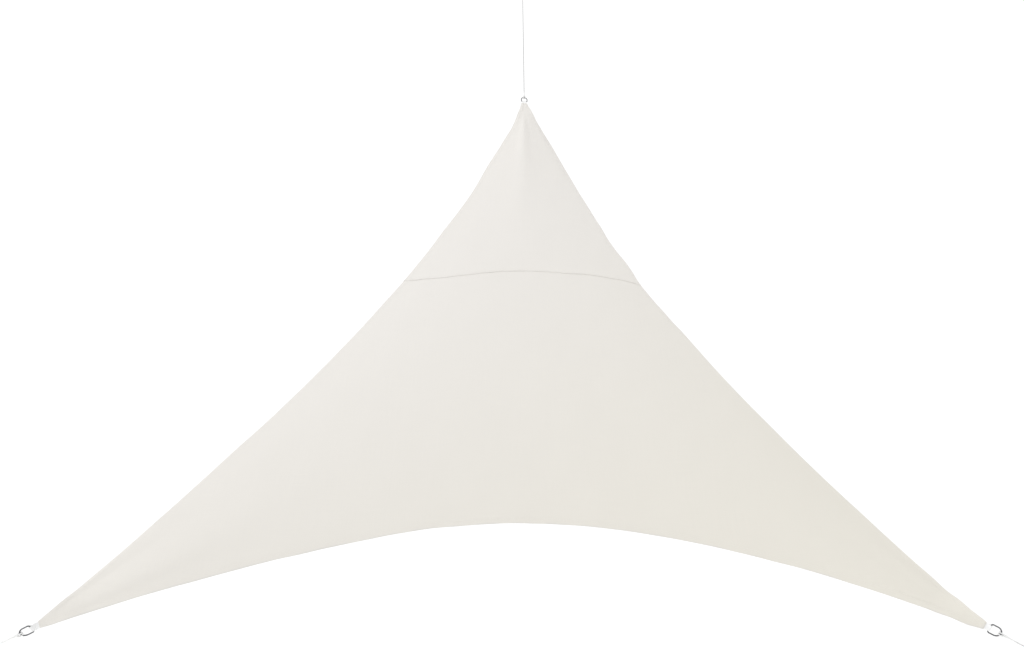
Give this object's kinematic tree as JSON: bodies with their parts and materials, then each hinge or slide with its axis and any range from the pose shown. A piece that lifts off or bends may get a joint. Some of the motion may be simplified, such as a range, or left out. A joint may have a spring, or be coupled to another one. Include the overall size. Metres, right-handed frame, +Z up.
{
  "type": "triangular shade sail with ropes",
  "caption": "Triangular cloth shade sail with hollowed edges, webbing straps and D-rings at its corners, held taut by ropes that end in spliced eyes.",
  "frame": {"origin": "bearing point of the top rope's eye, where the upper hook or anchor takes its pull", "axes": "+X along the near edge, from the left ring towards the right ring; +Y level, away from the near edge; +Z up. The sail climbs at 55 degrees from its near edge to its top ring."},
  "size_m": [3.9245, 2.5476, 3.6692],
  "materials": {
    "cloth": "matt woven outdoor cloth, off-white",
    "webbing": "matt white webbing",
    "wire": "drawn steel wire, dark grey",
    "rope": "braided white rope"
  },
  "bodies": {
    "root": {"upper_panel": "cloth", "lower_panel": "cloth", "strap_top": "webbing", "strap_left": "webbing", "strap_right": "webbing", "ring_top": "wire", "ring_left": "wire", "ring_right": "wire", "splice_top": "rope", "splice_left": "rope", "splice_right": "rope", "rope_top": "rope", "rope_left": "rope", "rope_right": "rope", "eye_top": "rope", "eye_left": "rope", "eye_right": "rope"}
  },
  "joints": []
}
